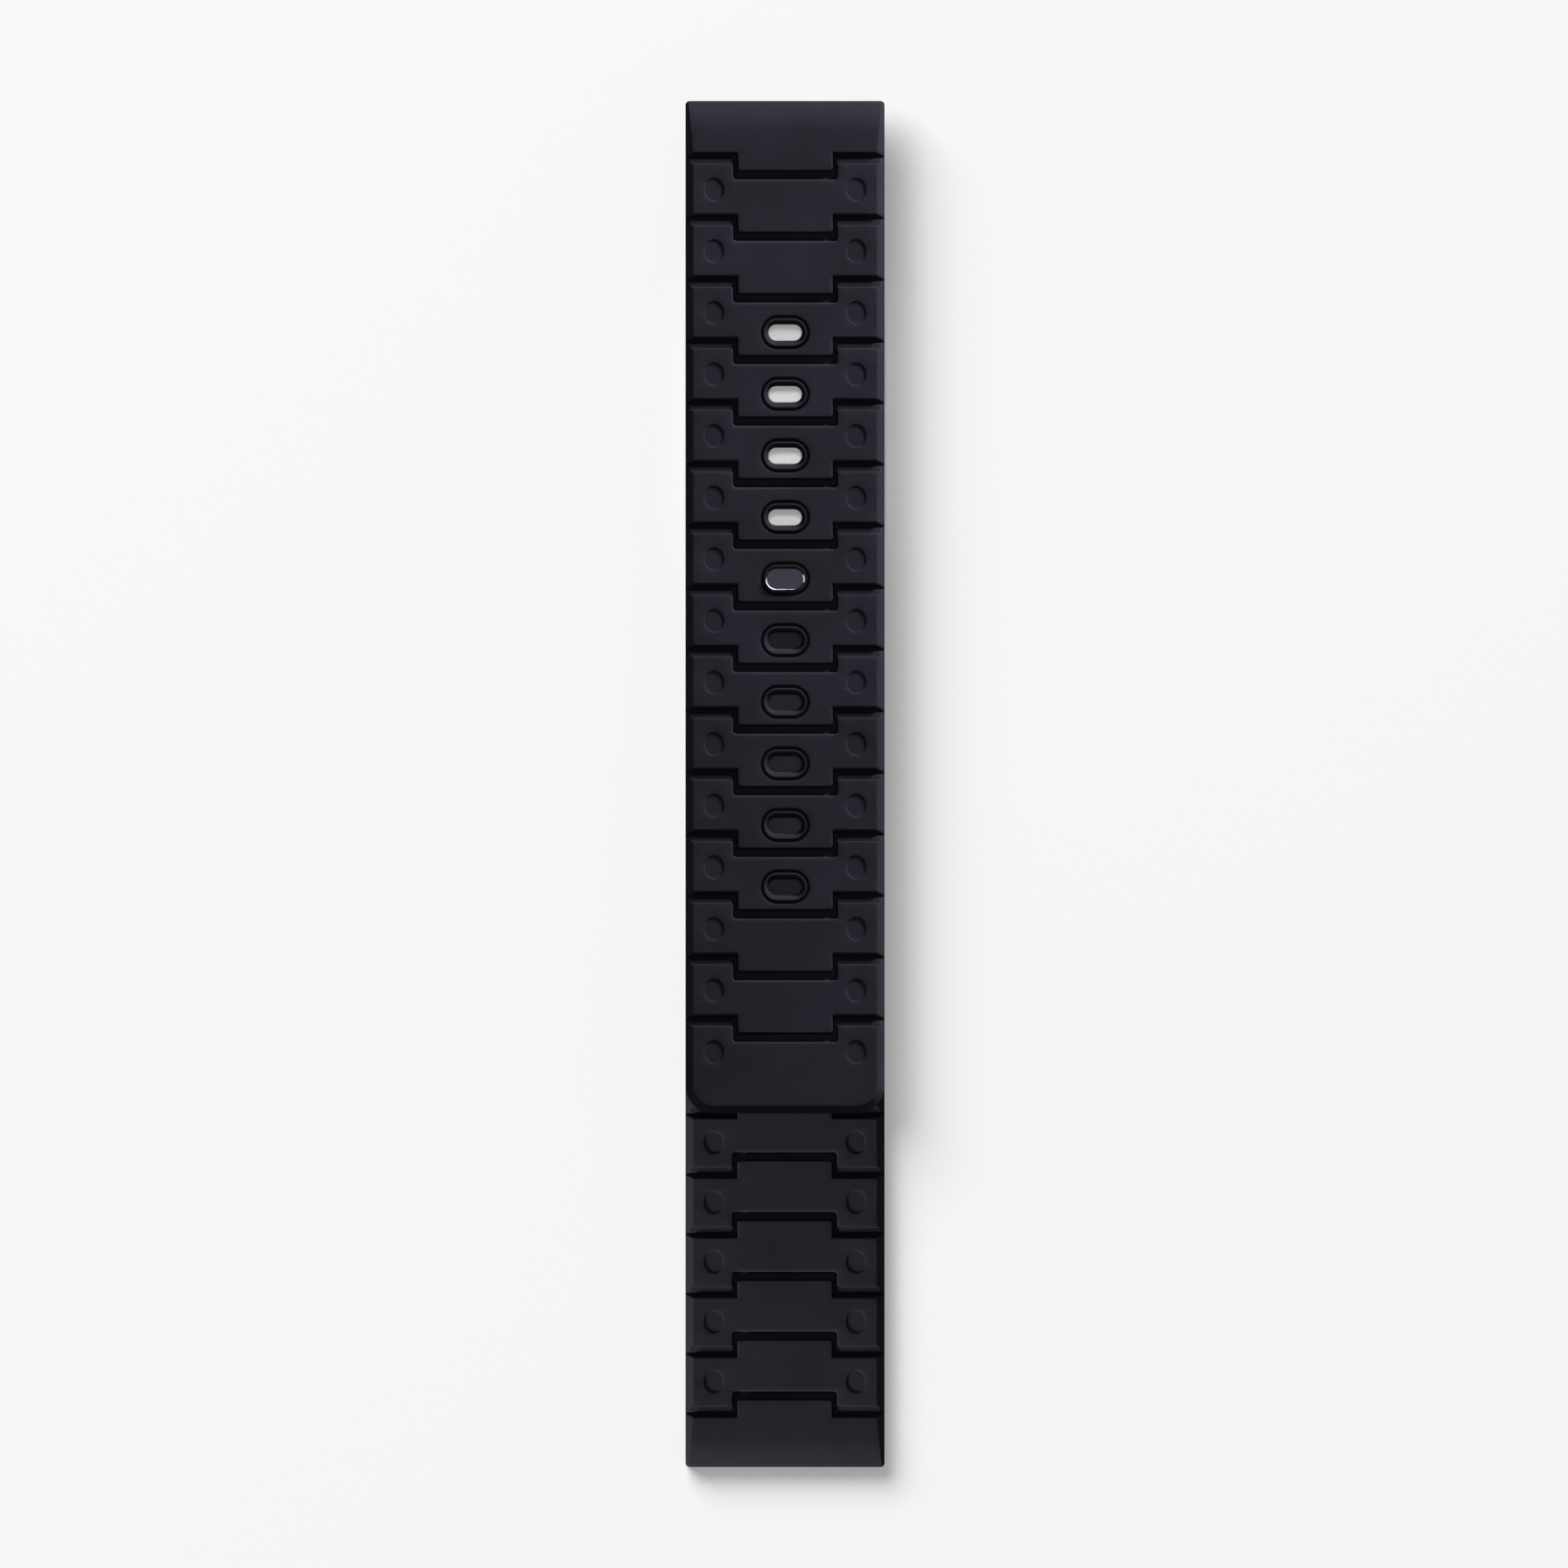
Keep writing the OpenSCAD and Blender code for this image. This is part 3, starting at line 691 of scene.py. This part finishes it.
def rounded(data, width):
    """A mesh with its sharp edges rounded over."""
    body = bpy.data.objects.new("body", data)
    scene.collection.objects.link(body)
    modifier = body.modifiers.new("round", "BEVEL")
    modifier.width, modifier.segments, modifier.limit_method = width * MM, 2, "ANGLE"
    modifier.angle_limit = math.radians(30)
    ready = body.evaluated_get(bpy.context.evaluated_depsgraph_get())
    made = bpy.data.meshes.new_from_object(ready)
    bpy.data.objects.remove(body)
    return made


def settle(half, data):
    """Moves a mesh from a half's own frame to where that half lies."""
    data.transform(Matrix.Translation(lay(half, 0, 0, 0)) @ Matrix.Rotation(HALVES[half]["turn"], 4, "Z"))
    return data


def metal(name, colour, roughness, marks_mm, stretch, depth):
    """A metal whose fine surface marks are noise of a size in mm, stretched along an axis."""
    material, tree = new_material(name)
    place = add(tree, "ShaderNodeTexCoord")
    drawn = add(tree, "ShaderNodeMapping", [("Vector", place, "Object")], Scale=stretch)
    marks = add(tree, "ShaderNodeTexNoise", [("Vector", drawn, "Vector")],
                Scale=1 / (marks_mm * MM), Detail=3.0)
    rough = add(tree, "ShaderNodeMapRange", [("Value", marks, "Fac")],
                To_Min=roughness * 0.8, To_Max=roughness * 1.25)
    bump = add(tree, "ShaderNodeBump", [("Height", marks, "Fac")], Strength=0.3, Distance=depth * MM)
    surface = add(tree, "ShaderNodeBsdfPrincipled",
                  [("Roughness", rough, "Result"), ("Normal", bump, "Normal")],
                  Base_Color=linear(colour), Metallic=1.0)
    add(tree, "ShaderNodeOutputMaterial", [("Surface", surface, 0)])
    return material


clip_steel = metal("brushed_stainless_steel", "#b9b9bd", 0.30, 0.06, (0.05, 1.0, 1.0), 0.002)
BAY_X, BAY_FROM, BAY_TO, BAY_TOP = 7.1, 3.0, 5.05, 1.5            # the bay for the latch and its springs
COVER_FROM, COVER_T = BAR_V + SEAT_R, 0.3
LATCH_X, LATCH_NOSE, LATCH_FROM, LATCH_TO = 4.5, 1.7, 3.05, 4.0
ROOM, FIT = 0.1, 0.02                         # gap beside what slides, and round what is let in
OVER = 1                                      # how far a cutter reaches past what it cuts
metals = []                                   # every metal piece but the stud, for the lamps

for half in HALVES:
    data = carve(block(-CLIP_X, CLIP_X, CLIP_FROM, CLIP_TO, FIT, CLIP_TOP), [
        bar_channel(0, CLIP_X + OVER, 0.12),
        block(-CLIP_X - OVER, CLIP_X + OVER, COVER_FROM - ROOM, CLIP_TO + OVER, -OVER, COVER_T),
        block(-BAY_X, BAY_X, BAY_FROM, BAY_TO, -OVER, BAY_TOP),
        block(-LATCH_X - ROOM, LATCH_X + ROOM, BAR_V, BAY_FROM + OVER, -OVER, COVER_T + 0.2)])
    clip = dress(f"{half}_clip_block", settle(half, rounded(data, 0.06)), sharp=35)
    clip.data.materials.append(clip_steel)
    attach(clip, f"{half}_lug")
    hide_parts(f"{half}_clip_frame")
    metals.append(clip)

# ---------------------------------------------------------------------------------------------------
# Cover plates: stamped stainless sheet with a window for the latch, spot-welded under the frame so that
# the latch and its springs stay in the bay.
for half in HALVES:
    sheet = block(-CLIP_X + FIT, CLIP_X - FIT, COVER_FROM + FIT, CLIP_TO - FIT, 0.01, COVER_T)
    window = block(-LATCH_X - ROOM, LATCH_X + ROOM, 0, BAY_TO, -OVER, COVER_T + OVER)
    cover = dress(f"{half}_clip_plate", settle(half, rounded(carve(sheet, [window]), 0.05)), sharp=35)
    cover.data.materials.append(clip_steel)
    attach(cover, f"{half}_lug")
    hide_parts(f"{half}_clip_cover")
    metals.append(cover)

# ---------------------------------------------------------------------------------------------------
# Latches: a steel slider whose nose closes the seat under the bar. It is blackened, and grooves cut
# across its underside give a fingernail its grip.
latch_steel = metal("blackened_steel", "#3a3a3e", 0.42, 0.05, (1.0, 1.0, 1.0), 0.002)
LATCH_LOW, NOSE_TOP, LATCH_TOP, EAR_T = 0.05, 0.42, 1.4, 0.3      # ears reach out from it to the springs
GRIP_L, GRIP_W, GRIP_TOP, GRIP_STEP, GRIPS = 7.8, 0.15, 0.15, 0.26, 5
HAIR = 0.001                                  # keeps the faces of joined blocks out of one plane


def grip_tree():
    """Cuts a row of grooves across a body: bars stepped along it, taken away from it."""
    tree, given = new_tree("grip_grooves", [
        ("Body", "Object"), ("Bar", "Vector"), ("Start", "Vector"), ("Step", "Vector"), ("Grooves", "Int"),
        ("Material", "Material")])
    body = add(tree, "GeometryNodeObjectInfo", [("Object", given, "Body")])
    line = add(tree, "GeometryNodeMeshLine", [
        ("Count", given, "Grooves"), ("Start Location", given, "Start"), ("Offset", given, "Step")])
    bar = add(tree, "GeometryNodeMeshCube", [("Size", given, "Bar")])
    bars = add(tree, "GeometryNodeInstanceOnPoints", [("Points", line, 0), ("Instance", bar, 0)])
    real = add(tree, "GeometryNodeRealizeInstances", [("Geometry", bars, 0)])
    cut = add(tree, "GeometryNodeMeshBoolean", [("Mesh 1", body, "Geometry"), ("Mesh 2", real, 0)],
              operation="DIFFERENCE")
    return end_tree(tree, given, cut, 0)


grip_grooves = grip_tree()
for half in HALVES:
    slider = block(-LATCH_X + HAIR, LATCH_X - HAIR, LATCH_FROM, LATCH_TO - HAIR, LATCH_LOW + 0.01, LATCH_TOP)
    ears = block(-BAY_X + ROOM, BAY_X - ROOM, LATCH_FROM + HAIR, LATCH_FROM + EAR_T, COVER_T + 0.05,
                 LATCH_TOP - 0.01)
    data = carve(block(-LATCH_X, LATCH_X, LATCH_NOSE, LATCH_TO, LATCH_LOW, NOSE_TOP), [slider, ears], "UNION")
    blank = bpy.data.objects.new("blank", rounded(data, 0.05))
    scene.collection.objects.link(blank)
    data = evaluate(f"{half}_latch_slider", grip_grooves, Body=blank,
                    Bar=Vector((GRIP_L, GRIP_W, 2 * GRIP_TOP)) * MM,
                    Start=Vector((0, LATCH_TO - 0.22, 0)) * MM, Step=Vector((0, -GRIP_STEP, 0)) * MM,
                    Grooves=GRIPS, Material=latch_steel)
    bpy.data.objects.remove(blank)
    latch = dress(data.name, settle(half, data), sharp=35)
    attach(latch, f"{half}_latch")
    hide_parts(f"{half}_latch")
    metals.append(latch)

# ---------------------------------------------------------------------------------------------------
# Latch springs: two compression coils in each bay, wound from hard-drawn stainless wire, which push the
# latch's ears towards the bar.
spring_steel = metal("hard_drawn_spring_wire", "#c4c4c8", 0.20, 0.03, (1.0, 1.0, 1.0), 0.001)
SPRING_X, SPRING_Z, SPRING_R, WIRE, TURNS = 5.9, 0.92, 0.42, 0.12, 5


def coil_tree():
    """A pair of coil springs along Y: a helix with a round wire swept along it, set out on both sides."""
    tree, given = new_tree("coil_springs", [
        ("Radius", "Float"), ("Wire radius", "Float"), ("Turns", "Float"), ("Length", "Float"),
        ("Start", "Vector"), ("Spread", "Vector"), ("Material", "Material")])
    helix = add(tree, "GeometryNodeCurveSpiral", [
        ("Rotations", given, "Turns"), ("Height", given, "Length"),
        ("Start Radius", given, "Radius"), ("End Radius", given, "Radius")], Resolution=24)
    laid = add(tree, "GeometryNodeTransform", [("Geometry", helix, 0)], Rotation=(-math.pi / 2, 0, 0))
    wire = add(tree, "GeometryNodeCurvePrimitiveCircle", [("Radius", given, "Wire radius")], Resolution=10)
    coil = add(tree, "GeometryNodeCurveToMesh", [("Curve", laid, 0), ("Profile Curve", wire, 0)],
               Fill_Caps=True)
    pair = add(tree, "GeometryNodeMeshLine",
               [("Start Location", given, "Start"), ("Offset", given, "Spread")], Count=2)
    both = add(tree, "GeometryNodeInstanceOnPoints", [("Points", pair, 0), ("Instance", coil, 0)])
    return end_tree(tree, given, both, 0)


coil_springs = coil_tree()
for half in HALVES:
    ear = LATCH_FROM + EAR_T + 0.01
    data = evaluate(f"{half}_latch_coils", coil_springs, Radius=SPRING_R * MM, Wire_radius=WIRE / 2 * MM,
                    Turns=TURNS, Length=(BAY_TO - ear - WIRE - FIT) * MM,
                    Start=Vector((-SPRING_X, ear + WIRE / 2, SPRING_Z)) * MM,
                    Spread=Vector((2 * SPRING_X, 0, 0)) * MM, Material=spring_steel)
    coils = dress(data.name, settle(half, data))
    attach(coils, f"{half}_lug")
    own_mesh(coils)
    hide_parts(f"{half}_latch_springs")
    metals.append(coils)

# ---------------------------------------------------------------------------------------------------
# Closure stud: one turned and milled piece of stainless steel, polished and then coated near black. Its
# head buttons through a slot, its flange lies in the short half's top, and its tails are riveted.
stud_steel = metal("polished_black_coated_steel", "#4c4c58", 0.16, 0.5, (1.0, 1.0, 1.0), 0.0005)


def stack(shell, rows, x=0.0):
    """A closed body of oblong rings, each a (length, width) grown by some amount, and its height."""
    loops = [[shell.point(x + px, STUD_V + pw, z) for px, pw in oblong(length + more, width + more)]
             for (length, width), more, z in rows]
    for a, b in zip(loops, loops[1:]):
        shell.strip(a, b, closed=True)
    shell.face(loops[0])
    shell.face(loops[-1])


FLANGE, NECK, HEAD, TAIL = (FLANGE_L, FLANGE_W), (3.4, 1.5), (4.37, 2.51), (2 * TAIL_R, 2 * TAIL_R)
HEAD_T, CROWN_IN, CROWN_DOWN = 0.6, 0.36, 0.16
head_low = STUD_TOP - HEAD_T
crown = [(math.cos(math.radians(a)), math.sin(math.radians(a))) for a in range(0, 91, 15)]
shell = Shell()
stack(shell, [
    (FLANGE, -0.12, FLANGE_Z), (FLANGE, 0, FLANGE_Z + 0.06), (FLANGE, 0, THICK - 0.04),
    (FLANGE, -0.08, THICK), (NECK, 0.26, THICK), (NECK, 0.08, THICK + 0.06), (NECK, 0, THICK + 0.16),
    (NECK, 0, head_low - 0.05), (NECK, 0.1, head_low), (HEAD, -0.10, head_low),
    (HEAD, -0.02, head_low + 0.03), (HEAD, 0, head_low + 0.08),
    *[(HEAD, -CROWN_IN * (1 - out), STUD_TOP - CROWN_DOWN * (1 - up)) for out, up in crown]])
for side in (-1, 1):
    stack(shell, [(TAIL, -0.5, PLATE_LOW), (TAIL, -0.2, PLATE_LOW + 0.03), (TAIL, 0, PLATE_LOW + 0.13),
                  (TAIL, 0, FLANGE_Z + 0.05)], side * TAIL_X)
stud = dress("stud", settle("short", shell.mesh("stud")), sharp=30)
stud.data.materials.append(stud_steel)
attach(stud, "short_tip")
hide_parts("closure_stud")

# ---------------------------------------------------------------------------------------------------
# Backing plate: a stamped steel oval let into the short half's underside, which spreads the pull of the
# two rivet tails over the rubber.
rivet_hole = 2 * TAIL_R + 0.04
shell = Shell()
rings = []
for trim, hole, z in ((0.14, rivet_hole + 0.14, PLATE_LOW), (0, rivet_hole + 0.02, PLATE_LOW + 0.07),
                      (0, rivet_hole, PLATE_TOP - 0.05), (0.08, rivet_hole, PLATE_TOP)):
    outer = [shell.point(px, STUD_V + pw, z) for px, pw in oblong(PLATE_L - trim, PLATE_W - trim)]
    holes = [[shell.point(side * TAIL_X + px, STUD_V + pw, z) for px, pw in oblong(hole, hole)]
             for side in (-1, 1)]
    rings.append([outer] + holes)
for a, b in zip(rings, rings[1:]):
    for low, high in zip(a, b):
        shell.strip(low, high, closed=True)
for ring in (rings[0], rings[-1]):
    shell.fill(ring[0], ring[1:], keep=0.15)
plate = dress("backing_plate", settle("short", shell.mesh("plate")), sharp=30)
plate.data.materials.append(clip_steel)
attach(plate, "short_tip")
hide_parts("stud_backing_plate")
metals.append(plate)

# ---------------------------------------------------------------------------------------------------
# Floor: a pale table whose surface glows a little, a painted glow that stands in for fill light and keeps the
# shadows on it soft.
table_with_painted_glow, tree = new_material("pale_translucent_table")
# Painted glow: an even emission lifts the table's shadows as a fill light would, and brightens the table seen
# through the slots.
add(tree, "ShaderNodeOutputMaterial", [("Surface", add(
    tree, "ShaderNodeBsdfPrincipled", Roughness=1.0, Specular_IOR_Level=0.0, Base_Color=linear("#e6e6e6"),
    Emission_Color=linear("#ffffff"), Emission_Strength=0.30), 0)])
FLOOR_REACH = 2                               # metres from the middle to each side
floor_mesh = bpy.data.meshes.new("floor")
corners = [(x * FLOOR_REACH, y * FLOOR_REACH, 0) for x, y in ((-1, -1), (1, -1), (1, 1), (-1, 1))]
floor_mesh.from_pydata(corners, [], [(0, 1, 2, 3)])
floor_mesh.materials.append(table_with_painted_glow)
floor = bpy.data.objects.new("floor", floor_mesh)
scene.collection.objects.link(floor)

# ---------------------------------------------------------------------------------------------------
# Light: soft boxes in a dim room, each flagged with black card onto what it is meant for. One lights the
# table, one rakes across each half's tread from its far side, one overhead fills, and the polished stud
# has two to mirror. A narrow beam shines down each free slot, so that what lies below it can be seen.
world = bpy.data.worlds.new("studio")
scene.world = world
world.use_nodes = True
room = world.node_tree.nodes["Background"]
room.inputs["Color"].default_value = (0.93, 0.95, 1, 1)
room.inputs["Strength"].default_value = 0.10


def softbox(name, place, aim, size, watts, lit, kind="AREA"):
    """A lamp at a place in metres, aimed at a point, that lights only the listed objects."""
    data = bpy.data.lights.new(name, kind)
    data.energy = watts
    if kind == "AREA":
        data.shape, data.size = "SQUARE", size
    else:
        data.shadow_soft_size = size / 2
    light = bpy.data.objects.new(name, data)
    light.location = place
    light.rotation_euler = (Vector(aim) - Vector(place)).to_track_quat("-Z", "Y").to_euler()
    scene.collection.objects.link(light)
    group = bpy.data.collections.new(name + "_lights")
    for item in lit:
        group.objects.link(item)
    light.light_linking.receiver_collection = group
    return light


long_rubber, short_rubber = strap_pieces["long"], strap_pieces["short"]
softbox("table_box", (-2.2, 3.1, 3.7), (0, 0, 0), 4.0, 330, [floor])
softbox("long_box", (0.29, 0.385, 0.145), (0, 0.04, 0), 0.11, 9.4, long_rubber + metals)
softbox("short_box", (-0.287, -0.359, 0.139), (0, -0.04, 0), 0.11, 6.9, short_rubber + metals)
softbox("overhead_box", (0, 0, 0.8), (0, 0, 0), 0.5, 2.0, long_rubber + short_rubber)
softbox("polish_box", (0, 0, 0.8), (0, 0, 0), 0.5, 0.38, metals + [stud])
softbox("stud_box_left", (-0.26, -0.24, 0.22), (0, 0.02, 0), 0.6, 24, [stud])
softbox("stud_box_right", (0.40, 0.04, 0.20), (0, 0.02, 0), 0.26, 7, [stud])

BEAM_HEIGHT, BEAM_SIZE, BEAM_DEGREES = 0.2, 0.014, 5.2
free_slots = [k for k in range(FIRST_SLOT, LAST_SLOT + 1) if k != BUTTONED]
for k in free_slots:
    # up to the buttoned link the slots show the table, and past it the short half's top
    lean, watts, below, z = (0.018, 0.32, [floor], 0) if k < BUTTONED else (0.002, 0.95, short_rubber, THICK)
    through = lay("long", 0, HALVES["long"]["edges"][k - 1] + SLOT_SHARE * HALVES["long"]["pitch"], 0)
    through.z = z * MM
    beam = softbox(f"slot_beam_{k}", through + Vector((0, lean, BEAM_HEIGHT)), through, BEAM_SIZE, watts,
                   below, "SPOT")
    beam.data.spot_size, beam.data.spot_blend = math.radians(BEAM_DEGREES), 0.3
